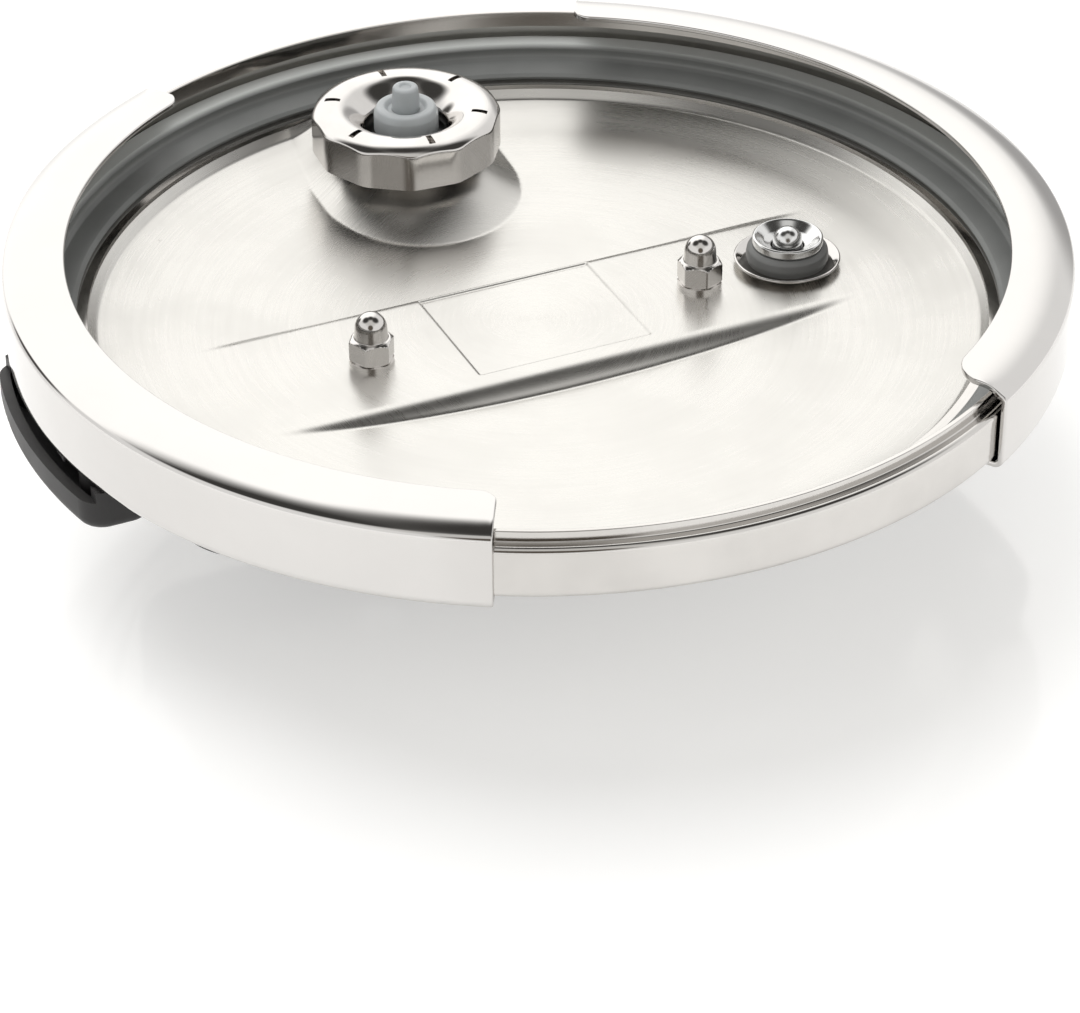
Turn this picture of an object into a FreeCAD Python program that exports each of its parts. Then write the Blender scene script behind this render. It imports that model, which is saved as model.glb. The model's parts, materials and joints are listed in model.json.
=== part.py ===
# Clamp-jaw pressure cooker lid, modelled with its underside up, resting on its turn knob.
# Units are millimetres. X runs from jaw to jaw, Z points out of the lid's underside, and the
# origin is the centre of the flat knob face that the lid stands on.
import FreeCAD, Part
import math
import os

V = FreeCAD.Vector
UP = V(0, 0, 1)
AXIS = V(0, 0, 0)

# ---- lid sheet ----
SHEET = 1.2             # thickness of the pressed steel
EDGE_Z = 50.0           # height of the crease round the panel
PANEL_R = 100.0         # radius of that crease
DOME_SAG = 7.5          # how far the panel's centre lies below the crease
COVE_R = 103.0          # where the cove meets the gasket seat
SEAT_Z = 53.0           # upper face of the gasket seat
BAND_R = 118.5          # outside of the plain outer band
SHOULDER_Z = 61.5       # where the band starts to round inwards
SHOULDER = 2.5          # radius of that rounding
FLANGE_R = 115.8        # outside of the upstanding flange
FLANGE_TOP = 66.6       # trimmed edge of the flange
CORNER = 1.6            # rounding where the band meets the seat

# ---- pressed bar and its recess ----
BAR_TOP = 46.0          # flat top of the pressed bar
BAR_HALF = 21.0         # half width of the flat top
BAR_SLOPE = 0.9         # sideways run of the bar's bevel for each millimetre down
BAR_LENGTH = 80.0       # half length; the dome swallows the ends
BAR_FOOT = 40.0
RECESS_X = 21.3
RECESS_Y = 17.8
RECESS_DEPTH = 1.2
RECESS_MID_Y = 2.4      # the recess lies a little towards the pressure valve

# ---- valve boss ----
VALVE_Y = 77.0          # distance of the pressure valve from the lid's centre
BOSS_FOOT_Z = 43.0
BOSS_FOOT_Y = 70.5      # centre of the boss's round end at its foot
BOSS_FOOT_R = 27.5
BOSS_TOP_R = 15.0

# ---- studs and safety valve ----
STUD_X = 41.0
STUD_R = 3.0
SAFETY_X = 63.7
SAFETY_HOLE_R = 7.0
SAFETY_PAD_R = 13.2     # flat pad pressed into the dome round the safety valve
VALVE_HOLE_R = 6.1

# ---- jaws ----
JAW_R = 120.3           # outside of the jaw wall
JAW_SHEET = 1.4
JAW_TOP = 68.5
JAW_BOTTOM = 49.8
JAW_LIP_R = 106.0       # inner edge of the lip that grips the pot's flange
JAW_FOOT_R = 108.0      # inner edge of the lip under the lid
JAW_RIGHT = (-56.0, 61.0)    # where the right jaw starts and ends, in degrees round the rim
JAW_LEFT = (-61.3, 61.3)     # the same for the left jaw, before it is turned to its side
JAW_TOP_BEND = 3.2
JAW_FOOT_BEND = 2.4
JAW_LIP_CORNER = 4.0
JAW_TRAVEL = 14.0       # how far each jaw slides out to open

# ---- slide arms ----
ARM_T = 2.0
ARM_HALF = 13.0
ARM_Z = 36.0            # underside of the flat part
ARM_INNER = 7.0
ARM_BEND_X = 90.0
ARM_RISE_X = 106.0
ARM_END = 118.0
ARM_SLOT_HALF = 4.8
PIN_R = 2.5
PIN_CLOSED = 12.0       # pin's distance from the axle with the jaws closed

# ---- bridge, housing, knob ----
PLATE_Z = 39.5
PLATE_T = 1.5
HOUSING_Z = 24.0
HOUSING_WALL = 2.2
HOUSING_X = 94.0
HOUSING_Y = 34.0
HOUSING_CORNER = 18.0
LID_GAP = 0.4           # air between the housing's rim and the lid
CAM_Z = 31.5
CAM_T = 3.0
CAM_R = 30.5
CAM_TURN = 90.0
AXLE_R = 4.0
FIT = 0.05              # radial clearance of a running fit
KNOB_R = 33.0
KNOB_TOP = 23.4
HUB_R = 10.0

# ---- grips ----
GRIP_OUT = 122.6        # the outer wall follows the rim at this radius
GRIP_IN = 103.0
GRIP_HALF = 31.5
GRIP_Z = 40.0
GRIP_WALL = 2.4
GRIP_RIM = 47.2         # top of the grip's outer wall
GRIP_CORNER = 6.0

os.makedirs("parts", exist_ok=True)


def tube(outer, inner, z0, z1, x=0.0, y=0.0):
    """Upright cylinder from z0 to z1, bored out when inner is above zero."""
    body = Part.makeCylinder(outer, z1 - z0, V(x, y, z0))
    if inner > 0:
        body = body.cut(Part.makeCylinder(inner, z1 - z0 + 2, V(x, y, z0 - 1)))
    return body


def block(x0, x1, y0, y1, z0, z1):
    """Box between two corners."""
    return Part.makeBox(x1 - x0, y1 - y0, z1 - z0, V(x0, y0, z0))


def outline(points):
    """Closed wire of straight edges; a point written (a, b, ma, mb) is reached through (ma, mb)."""
    edges = []
    last = V(points[-1][0], 0, points[-1][1])
    for point in points:
        here = V(point[0], 0, point[1])
        if len(point) == 4:
            edges.append(Part.Arc(last, V(point[2], 0, point[3]), here).toShape())
        elif (here - last).Length > 1e-6:
            edges.append(Part.makeLine(last, here))
        last = here
    return Part.Wire(edges)


def turned(points, angle=360.0, start=0.0, x=0.0, y=0.0):
    """Solid of revolution about an upright axis from an outline of (radius, height) points."""
    solid = Part.Face(outline(points)).revolve(AXIS, UP, angle)
    solid.rotate(AXIS, UP, start)
    solid.translate(V(x, y, 0))
    return solid


def cap_arc(radius, top):
    """Outline points of a ball's upper quarter, ending in a small flat on the axis."""
    flat = radius * 0.12
    rise = math.sqrt(radius ** 2 - flat ** 2)
    half = (math.asin(flat / radius) + math.pi / 2) / 2
    centre = top - radius
    return [(radius, centre),
            (flat, centre + rise, radius * math.sin(half), centre + radius * math.cos(half)),
            (0, centre + rise)]


def rounded_block(x0, x1, y0, y1, z0, z1, radius):
    """Box with its four upright edges rounded."""
    box = block(x0, x1, y0, y1, z0, z1)
    upright = [e for e in box.Edges if abs(e.tangentAt(e.FirstParameter).z) > 0.99]
    return box.makeFillet(radius, upright)


def both_sides(shape):
    """The shape and its copy turned half a turn about the lid's axis, as one compound."""
    twin = shape.copy()
    twin.rotate(AXIS, UP, 180)
    return Part.makeCompound([shape, twin])


def spring(x, y, z0, z1, radius, wire, turns):
    """Helical compression spring with round wire."""
    height = z1 - z0 - 2 * wire
    helix = Part.makeHelix(height / turns, height, radius)
    ring = Part.Wire([Part.makeCircle(wire, V(radius, 0, 0), V(0, 1, 0))])
    coil = Part.Wire(helix.Edges).makePipeShell([ring], True, True)
    coil.translate(V(x, y, z0 + wire))
    return coil


def save(shape, name):
    """Write one node; every node is one or more closed solids."""
    if not isinstance(shape, list):
        shape = shape.Solids
    node = shape[0] if len(shape) == 1 else Part.makeCompound(shape)
    node.exportStep(f"parts/{name}.step")
    print(name, len(shape), round(sum(s.Volume for s in shape)), node.isValid())


# ---------------------------------------------------------------- lid
def dome_height(radius):
    """Upper face of the panel at a distance from its centre."""
    return EDGE_Z - DOME_SAG * (1 - (radius / PANEL_R) ** 2)


def lid_sheet():
    """Plain pressed lid: dome, cove, gasket seat, band, shoulder and flange."""
    seat_low = SEAT_Z - SHEET
    band_in = BAND_R - SHEET
    flange_in = FLANGE_R - SHEET
    shoulder_r = BAND_R - SHOULDER
    mid = math.sqrt(0.5)
    inner_bend = SHOULDER - SHEET
    return turned([
        (0, dome_height(0)),
        (PANEL_R, EDGE_Z, PANEL_R / 2, dome_height(PANEL_R / 2)),
        (COVE_R, SEAT_Z),
        (band_in - 1, SEAT_Z),
        (band_in, SEAT_Z + 1),
        (band_in, SHOULDER_Z),
        (shoulder_r, SHOULDER_Z + inner_bend,
         shoulder_r + inner_bend * mid, SHOULDER_Z + inner_bend * mid),
        (flange_in, SHOULDER_Z + inner_bend),
        (flange_in, FLANGE_TOP),
        (FLANGE_R, FLANGE_TOP),
        (FLANGE_R, SHOULDER_Z + SHOULDER),
        (shoulder_r, SHOULDER_Z + SHOULDER),
        (BAND_R, SHOULDER_Z, shoulder_r + SHOULDER * mid, SHOULDER_Z + SHOULDER * mid),
        (BAND_R, seat_low + CORNER),
        (BAND_R - CORNER, seat_low, BAND_R - CORNER * (1 - mid), seat_low + CORNER * (1 - mid)),
        (COVE_R + 0.5, seat_low),
        (PANEL_R + 0.5, EDGE_Z - SHEET),
        (0, dome_height(0) - SHEET, PANEL_R / 2, dome_height(PANEL_R / 2) - SHEET)])


def above_lid(gap=0.0):
    """Everything above the dome's lower face, lowered by a gap."""
    low = SHEET + gap
    return turned([
        (0, dome_height(0) - low),
        (PANEL_R + 0.5, EDGE_Z - low, PANEL_R / 2, dome_height(PANEL_R / 2) - low),
        (COVE_R + 0.5, SEAT_Z - low),
        (BAND_R + 20, SEAT_Z - low),
        (BAND_R + 20, 90),
        (0, 90)])


def bar_block(lower=0.0):
    """Tapered block whose top is the pressed bar."""
    def level(z):
        half = BAR_HALF + (BAR_TOP - z) * BAR_SLOPE
        long = BAR_LENGTH + (BAR_TOP - z) * BAR_SLOPE
        corners = [V(-long, -half, z), V(long, -half, z), V(long, half, z), V(-long, half, z)]
        return Part.makePolygon(corners + corners[:1])
    solid = Part.makeLoft([level(BAR_FOOT), level(BAR_TOP)], True, True)
    solid.translate(V(0, 0, -lower))
    return solid


def boss_block(lower=0.0):
    """Tapered block with a round inner end that runs out into the cove, under the valve."""
    def level(z, centre, radius):
        far = COVE_R + 12
        arc = Part.Arc(V(radius, centre, z), V(0, centre - radius, z), V(-radius, centre, z))
        return Part.Wire([
            arc.toShape(),
            Part.makeLine(V(-radius, centre, z), V(-radius, far, z)),
            Part.makeLine(V(-radius, far, z), V(radius, far, z)),
            Part.makeLine(V(radius, far, z), V(radius, centre, z))])
    foot = level(BOSS_FOOT_Z, BOSS_FOOT_Y, BOSS_FOOT_R)
    top = level(SEAT_Z, VALVE_Y, BOSS_TOP_R)
    solid = Part.makeLoft([foot, top], True, True)
    solid.translate(V(0, 0, -lower))
    return solid.common(Part.makeCylinder(COVE_R + 1, 60, V(0, 0, 10)))


def lid_body():
    """Lid sheet with the pressed bar, its recess, the valve boss and all holes."""
    body = lid_sheet()
    solid_above = above_lid()
    for make in (bar_block, boss_block):
        pocket = make(SHEET)
        shell = make().cut(pocket).common(solid_above)
        body = body.cut(pocket).fuse(shell)
    floor = BAR_TOP - RECESS_DEPTH
    y0, y1 = RECESS_MID_Y - RECESS_Y, RECESS_MID_Y + RECESS_Y
    tray = block(-RECESS_X - 1.2, RECESS_X + 1.2, y0 - 1.2, y1 + 1.2, floor - SHEET, BAR_TOP - 0.5)
    body = body.fuse(tray)
    body = body.cut(rounded_block(-RECESS_X, RECESS_X, y0, y1, floor, BAR_TOP + 1, 2.5))
    body = body.fuse(tube(SAFETY_PAD_R + SHEET, 0, BAR_TOP - SHEET, BAR_TOP, SAFETY_X))
    body = body.cut(tube(SAFETY_PAD_R, 0, BAR_TOP, BAR_TOP + 10, SAFETY_X))
    holes = [tube(STUD_R + 0.1, 0, 30, 60, sx * STUD_X) for sx in (-1, 1)]
    holes.append(tube(SAFETY_HOLE_R, 0, 30, 60, SAFETY_X))
    holes.append(tube(VALVE_HOLE_R, 0, 30, 60, 0, VALVE_Y))
    for hole in holes:
        body = body.cut(hole)
    return body.removeSplitter()


def gasket():
    """Silicone lip seal that sits in the channel behind the flange."""
    return turned([
        (104.8, SEAT_Z), (104.4, 53.7), (105.2, 54.3), (110.2, 56.0), (111.0, 56.7),
        (110.7, 58.4), (111.6, 59.4), (116.2, 59.4), (117.1, 58.5), (117.1, 54.4),
        (116.2, SEAT_Z)])


# ---------------------------------------------------------------- fasteners on the lid
def acorn_nuts():
    """Two domed nuts on the pressed bar."""
    across, seat, hex_top, dome_r, top = 9.2, BAR_TOP + 1.0, 52.3, 3.8, 58.5
    corner = across / math.sqrt(3)
    nuts = []
    for sx, turn in ((-1, 54.0), (1, 84.0)):
        ring = [V(corner * math.cos(math.radians(turn + 60 * k)),
                  corner * math.sin(math.radians(turn + 60 * k)), seat) for k in range(7)]
        prism = Part.Face(Part.makePolygon(ring)).extrude(V(0, 0, hex_top - seat))
        lens = turned([(0, seat - 0.01), (corner - 0.6, seat - 0.01), (corner, seat + 0.5),
                       (corner, hex_top - 0.8), (across / 2 - 0.5, hex_top + 0.01),
                       (0, hex_top + 0.01)])
        dome = turned([(0, hex_top - 0.5), (dome_r, hex_top - 0.5)] + cap_arc(dome_r, top))
        nut = prism.common(lens).fuse(dome)
        nut = nut.cut(tube(STUD_R, 0, seat - 1, 55.0))
        nut.translate(V(sx * STUD_X, 0, 0))
        nuts.append(nut)
    return Part.makeCompound(nuts)


def nut_washers():
    """Plain washers under the domed nuts."""
    return both_sides(tube(5.2, STUD_R + 0.2, BAR_TOP, BAR_TOP + 1.0, STUD_X))


def seal_washers():
    """Silicone washers that seal the stud holes on the outer side."""
    top = BAR_TOP - SHEET
    return both_sides(tube(7.0, STUD_R, top - 1.6, top, STUD_X))


def stud_spacers():
    """Steel collars between the seal washers and the bridge plate."""
    return both_sides(tube(6.5, STUD_R, PLATE_Z + PLATE_T, BAR_TOP - SHEET - 1.6, STUD_X))


def stud_bolts():
    """Long bolts that clamp housing, bridge and lid; each head sits in the housing's face."""
    head = tube(5.2, 0, HOUSING_Z + 0.2, HOUSING_Z + 2.0, STUD_X)
    socket = tube(1.8, 0, HOUSING_Z - 1, HOUSING_Z + 1.4, STUD_X)
    shank = tube(STUD_R, 0, HOUSING_Z + 1.9, 54.6, STUD_X)
    return both_sides(head.cut(socket).fuse(shank).removeSplitter())


def guide_sleeves():
    """Sleeves round the bolts; the slotted arms slide along them."""
    return both_sides(tube(4.3, STUD_R, HOUSING_Z + 3.4, PLATE_Z, STUD_X))


# ---------------------------------------------------------------- safety valve
def safety_ring():
    """Dished steel ring under the safety valve."""
    return turned([(7.0, 46.0), (9.6, 46.0), (12.4, 47.4), (12.5, 47.9), (9.6, 46.8), (7.0, 46.8)],
                  x=SAFETY_X)


def safety_grommet():
    """Silicone grommet that snaps into the lid and carries the safety valve."""
    return turned([
        (4.6, 42.2), (8.2, 42.2), (9.0, 43.2), (9.0, 44.8), (7.0, 44.8), (7.0, 46.8), (9.3, 46.8),
        (9.65, 47.3), (9.5, 49.6), (8.4, 51.0), (6.4, 51.0), (4.6, 50.0)], x=SAFETY_X)


def safety_core():
    """Turned metal cup of the safety valve with two tabs and a bleed slot."""
    cup = turned([
        (2.0, 41.2), (4.6, 41.2), (4.6, 50.0), (6.4, 51.0), (8.0, 51.0), (8.25, 51.3),
        (8.25, 53.0), (8.0, 53.3), (7.5, 53.3), (4.4, 51.0, 6.1, 51.6), (4.1, 48.4),
        (2.0, 47.6)], x=SAFETY_X)
    for angle in (65, 245):
        tab = block(7.3, 8.9, -0.9, 0.9, 51.0, 53.1)
        tab.rotate(AXIS, UP, angle)
        tab.translate(V(SAFETY_X, 0, 0))
        cup = cup.fuse(tab)
    slot = block(4.6, 6.4, -0.7, 0.7, 51.25, 54)
    slot.rotate(AXIS, UP, -25)
    slot.translate(V(SAFETY_X, 0, 0))
    return cup.cut(slot).removeSplitter()


def safety_pin():
    """Pressure pin with a ball head; pressure lifts it out through the lid."""
    return turned([
        (0, 40.8), (1.0, 40.8), (1.5, 41.3), (1.5, 50.8), (3.0, 50.8), (3.2, 51.6)]
        + cap_arc(3.2, 55.4), x=SAFETY_X)


def safety_spring():
    """Conical spring washer of the pressure pin, between the cup's step and the ball head."""
    return turned([(1.7, 48.8), (3.5, 50.2), (3.5, 50.7), (1.7, 49.3)], x=SAFETY_X)


# ---------------------------------------------------------------- pressure valve
def decagon(radius, z0, z1, y):
    """Upright ten-sided prism with its corners at a radius."""
    turn = 7.0
    ring = [V(radius * math.cos(math.radians(turn + 36 * k)),
              y + radius * math.sin(math.radians(turn + 36 * k)), z0) for k in range(11)]
    return Part.Face(Part.makePolygon(ring)).extrude(V(0, 0, z1 - z0))


def valve_cap():
    """Ten-sided steel cap with a dished opening, six slots and a threaded hub."""
    crown = turned([
        (10.0, 59.8), (11.0, 61.4), (17.2, 64.4, 13.4, 63.6), (23.4, 61.0, 20.8, 63.6),
        (23.4, 53.5), (21.4, 53.5), (21.4, 60.2), (19.6, 62.2), (14.6, 61.6), (12.0, 59.6),
        (12.0, 56.2), (19.0, 56.2), (19.0, 54.4), (6.0, 54.4), (6.0, 56.2), (10.0, 56.2)],
        y=VALVE_Y)
    body = crown.common(decagon(23.0, 50, 70, VALVE_Y))
    for k in range(6):
        slot = block(16.2, 19.8, -0.65, 0.65, 58, 70)
        slot.rotate(AXIS, UP, 26 + 60 * k)
        slot.translate(V(0, VALVE_Y, 0))
        body = body.cut(slot)
    return body.removeSplitter()


def cap_washer():
    """Thin seal between the boss and the cap's hub."""
    return tube(17.0, 6.1, SEAT_Z, 54.4, 0, VALVE_Y)


def valve_body():
    """Valve tube through the lid with a flange below it."""
    return turned([
        (2.6, 30.0), (6.0, 30.0), (6.0, 44.5), (11.0, 44.5), (11.0, 46.5), (8.0, 47.5),
        (8.0, 50.2), (6.0, 50.2), (6.0, 57.6), (2.6, 57.6)], y=VALVE_Y)


def valve_seal():
    """Silicone washer between the valve's flange and the lid."""
    return tube(10.0, 6.0, 50.2, SEAT_Z - SHEET, 0, VALVE_Y)


def valve_core():
    """Silicone ring in the mouth of the cap."""
    return turned([
        (3.3, 57.6), (7.4, 57.6), (7.8, 58.4), (7.8, 63.4), (7.0, 64.4), (4.6, 64.4),
        (3.9, 63.6), (3.3, 63.6)], y=VALVE_Y)


def valve_peg():
    """Filter peg that stands in the silicone ring."""
    return turned([
        (0, 57.6), (3.3, 57.6), (3.3, 65.0), (3.0, 69.0), (2.5, 69.6), (0, 69.6)], y=VALVE_Y)


def selector_knob():
    """Pressure selector on the valve tube, with a raised pointer bar."""
    shell = turned([
        (6.0 + FIT, 32.0), (6.0 + FIT, 43.6), (13.0, 43.6), (17.0, 42.0), (18.0, 40.5),
        (18.0, 17.5), (16.6, 16.0), (9.0, 16.0), (9.0, 18.4), (14.0, 18.4), (15.4, 20.0),
        (15.4, 30.4), (13.8, 32.0)], y=VALVE_Y)
    bar = block(-3.2, 3.2, VALVE_Y + 9.5, VALVE_Y + 17.0, 12.0, 16.5)
    rear = block(-3.2, 3.2, VALVE_Y - 17.0, VALVE_Y - 9.5, 12.0, 16.5)
    body = shell.fuse(bar).fuse(rear)
    for k in range(18):
        groove = tube(1.1, 0, 20, 39, 18.6, 0)
        groove.rotate(AXIS, UP, 20 * k + 10)
        groove.translate(V(0, VALVE_Y, 0))
        body = body.cut(groove)
    return body.removeSplitter()


def steam_plunger():
    """Valve plunger that seats on the tube and shows through the selector."""
    return turned([
        (0, 13.4), (4.6, 13.4), (5.2, 14.2), (5.2, 20.8), (8.6, 20.8), (8.6, 22.8), (4.0, 22.8),
        (4.0, 27.8), (2.2, 30.4), (2.2, 32.8), (0, 34.4)], y=VALVE_Y)


def steam_spring():
    """Spring that holds the plunger on its seat."""
    return spring(0, VALVE_Y, 18.5, 20.7, 7.4, 0.4, 1.5)


# ---------------------------------------------------------------- jaws
def jaw(start, end):
    """Jaw on the right-hand side: a C-shaped strip rolled round the rim, with rounded lip corners."""
    r_in = JAW_R - JAW_SHEET
    bend, foot = JAW_TOP_BEND, JAW_FOOT_BEND
    k = 1 - math.sqrt(0.5)
    t = JAW_SHEET
    top_in, foot_in = bend - t, foot - t
    body = turned([
        (JAW_LIP_R, JAW_TOP),
        (JAW_R - bend, JAW_TOP),
        (JAW_R, JAW_TOP - bend, JAW_R - bend * k, JAW_TOP - bend * k),
        (JAW_R, JAW_BOTTOM + foot),
        (JAW_R - foot, JAW_BOTTOM, JAW_R - foot * k, JAW_BOTTOM + foot * k),
        (JAW_FOOT_R, JAW_BOTTOM),
        (JAW_FOOT_R, JAW_BOTTOM + t),
        (r_in - foot_in, JAW_BOTTOM + t),
        (r_in, JAW_BOTTOM + foot, r_in - foot_in * k, JAW_BOTTOM + t + foot_in * k),
        (r_in, JAW_TOP - bend),
        (r_in - top_in, JAW_TOP - t, r_in - top_in * k, JAW_TOP - t - top_in * k),
        (JAW_LIP_R, JAW_TOP - t)], end - start, start)
    corners = []
    for edge in body.Edges:
        upright = abs(edge.tangentAt(edge.FirstParameter).z) > 0.99
        point = edge.CenterOfMass
        radius = math.hypot(point.x, point.y)
        if upright and radius < JAW_FOOT_R + 0.5 and edge.Length < JAW_SHEET + 0.1:
            corners.append(edge)
    return body.makeFillet(JAW_LIP_CORNER, corners)


def arm():
    """Right-hand slide arm: a steel strip that carries its jaw and is driven by the cam pin."""
    t = ARM_T
    foot_z = JAW_BOTTOM
    path = [(ARM_INNER, ARM_Z), (ARM_BEND_X, ARM_Z), (ARM_RISE_X, foot_z - t), (ARM_END, foot_z - t),
            (ARM_END, foot_z), (ARM_RISE_X - 1, foot_z), (ARM_BEND_X - 1, ARM_Z + t),
            (ARM_INNER, ARM_Z + t)]
    strip = Part.Face(outline(path)).extrude(V(0, 2 * ARM_HALF, 0))
    strip.translate(V(0, -ARM_HALF, 0))
    slot = rounded_block(STUD_X - JAW_TRAVEL - 5.4, STUD_X + 5.4, -ARM_SLOT_HALF, ARM_SLOT_HALF,
                         ARM_Z - 1, ARM_Z + t + 1, ARM_SLOT_HALF - 0.1)
    strip = strip.cut(slot).cut(tube(PIN_R, 0, 20, 50, PIN_CLOSED))
    for y in (-8, 8):
        strip = strip.cut(tube(1.6, 0, 40, 60, 114.5, y))
    return strip


def cam_pin():
    """Headed pin riveted into the arm; it runs in the cam's spiral slot."""
    shank = tube(PIN_R, 0, CAM_Z + 0.4, ARM_Z + ARM_T, PIN_CLOSED)
    head = tube(PIN_R + 0.9, 0, ARM_Z + ARM_T, ARM_Z + ARM_T + 0.9, PIN_CLOSED)
    return shank.fuse(head).removeSplitter()


def jaw_rivets():
    """Rivets that join the jaw's foot to its arm."""
    rivets = []
    for y in (-8, 8):
        low = tube(2.8, 0, JAW_BOTTOM - ARM_T - 0.9, JAW_BOTTOM - ARM_T, 114.5, y)
        rivets.append(low.fuse(tube(1.6, 0, JAW_BOTTOM - ARM_T, JAW_BOTTOM, 114.5, y)).removeSplitter())
    return Part.makeCompound(rivets)


def grip_block(inner, outer, half, z0, z1, corner):
    """Upright block whose outer face is part of a cylinder about the lid's axis."""
    x = math.sqrt(outer ** 2 - half ** 2)
    arc = Part.Arc(V(x, -half, z0), V(outer, 0, z0), V(x, half, z0)).toShape()
    straight = [Part.makeLine(V(x, half, z0), V(inner, half, z0)),
                Part.makeLine(V(inner, half, z0), V(inner, -half, z0)),
                Part.makeLine(V(inner, -half, z0), V(x, -half, z0))]
    solid = Part.Face(Part.Wire([arc] + straight)).extrude(V(0, 0, z1 - z0))
    upright = [e for e in solid.Edges if abs(e.tangentAt(e.FirstParameter).z) > 0.99]
    return solid.makeFillet(corner, upright)


def grip():
    """Hollow moulded finger grip under the jaw."""
    body = grip_block(GRIP_IN, GRIP_OUT, GRIP_HALF, GRIP_Z, JAW_BOTTOM - 0.01, GRIP_CORNER)
    low_edges = [e for e in body.Edges
                 if abs(e.CenterOfMass.z - GRIP_Z) < 0.01 and e.CenterOfMass.x > GRIP_IN + 0.5]
    body = body.makeFillet(2.6, low_edges)
    wall = GRIP_WALL
    hollow = grip_block(GRIP_IN + 2 * wall, GRIP_OUT - wall, GRIP_HALF - wall,
                        GRIP_Z + wall, JAW_BOTTOM + 1, GRIP_CORNER - wall)
    step = block(JAW_R - 3.5, GRIP_OUT + 1, -GRIP_HALF - 1, GRIP_HALF + 1, GRIP_RIM, JAW_BOTTOM + 1)
    tongue = block(GRIP_IN - 5, GRIP_IN + 12, -ARM_HALF - 0.4, ARM_HALF + 0.4, 42.4, JAW_BOTTOM + 1)
    body = body.cut(hollow).cut(step).cut(tongue)
    for y in (-21, 21):
        post = tube(3.6, 0, GRIP_Z + wall - 0.5, JAW_BOTTOM - 0.01, 113.5, y)
        body = body.fuse(post)
    for y in (-21, 21):
        body = body.cut(tube(1.5, 0, GRIP_Z - 1, JAW_BOTTOM + 1, 113.5, y))
        body = body.cut(tube(2.9, 0, GRIP_Z - 1, GRIP_Z + 2.0, 113.5, y))
    return body.removeSplitter()


def grip_screws():
    """Screws that hold the grip to the jaw's foot."""
    screws = []
    for y in (-21, 21):
        head = tube(2.8, 0, GRIP_Z + 0.3, GRIP_Z + 2.0, 113.5, y)
        head = head.cut(block(112, 115, y - 0.4, y + 0.4, GRIP_Z, GRIP_Z + 1.1))
        screws.append(head.fuse(tube(1.5, 0, GRIP_Z + 1.9, JAW_BOTTOM, 113.5, y)).removeSplitter())
    return Part.makeCompound(screws)


# ---------------------------------------------------------------- bridge and drive
def bridge_plate():
    """Steel plate over the lid's outer face that carries the axle and closes the housing."""
    plate = rounded_block(-72, 72, -18, 18, PLATE_Z, PLATE_Z + PLATE_T, 6)
    for sx in (-1, 1):
        plate = plate.cut(tube(STUD_R + 0.1, 0, 30, 50, sx * STUD_X))
    plate = plate.cut(tube(3.0, 0, 30, 50, SAFETY_X))
    return plate.cut(tube(2.5, 0, 30, 50))


def axle():
    """Shouldered axle riveted into the bridge plate; cam and knob turn on it."""
    shaft = tube(AXLE_R, 0, 5.2, PLATE_Z)
    neck = tube(2.5, 0, PLATE_Z - 0.1, PLATE_Z + PLATE_T)
    groove = tube(AXLE_R + 1, AXLE_R - 0.8, 6.4, 7.4)
    return shaft.fuse(neck).cut(groove).removeSplitter()


def axle_clip():
    """Circlip that keeps the knob on its axle."""
    ring = tube(6.0, AXLE_R - 0.8, 6.45, 7.35)
    return ring.cut(block(2, 8, -1.5, 1.5, 6, 8))


def cam_disc():
    """Steel disc with two spiral slots that push the arm pins in and out."""
    disc = tube(CAM_R, AXLE_R + FIT, CAM_Z, CAM_Z + CAM_T)
    steps = 15
    for half_turn in (0, 180):
        last = None
        for k in range(-1, steps + 2):
            turn = CAM_TURN * k / steps
            radius = PIN_CLOSED + JAW_TRAVEL * k / steps
            angle = math.radians(half_turn - turn)
            x, y = radius * math.cos(angle), radius * math.sin(angle)
            disc = disc.cut(tube(PIN_R + 0.3, 0, CAM_Z - 1, CAM_Z + CAM_T + 1, x, y))
            if last:
                run = math.hypot(x - last[0], y - last[1])
                link = block(0, run, -PIN_R - 0.3, PIN_R + 0.3, CAM_Z - 1, CAM_Z + CAM_T + 1)
                link.rotate(AXIS, UP, math.degrees(math.atan2(y - last[1], x - last[0])))
                link.translate(V(last[0], last[1], 0))
                disc = disc.cut(link)
            last = (x, y)
    for angle in (45, 225):
        x, y = 7.0 * math.cos(math.radians(angle)), 7.0 * math.sin(math.radians(angle))
        disc = disc.cut(tube(1.2, 0, CAM_Z - 1, CAM_Z + CAM_T + 1, x, y))
    return disc


def cam_screws():
    """Screws that fasten the cam to the knob's hub."""
    screws = []
    for angle in (45, 225):
        x, y = 7.0 * math.cos(math.radians(angle)), 7.0 * math.sin(math.radians(angle))
        top = CAM_Z + CAM_T
        screw = tube(1.2, 0, CAM_Z - 6, top, x, y).fuse(tube(2.0, 0, top, top + 1.2, x, y))
        screws.append(screw.removeSplitter())
    return Part.makeCompound(screws)


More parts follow.
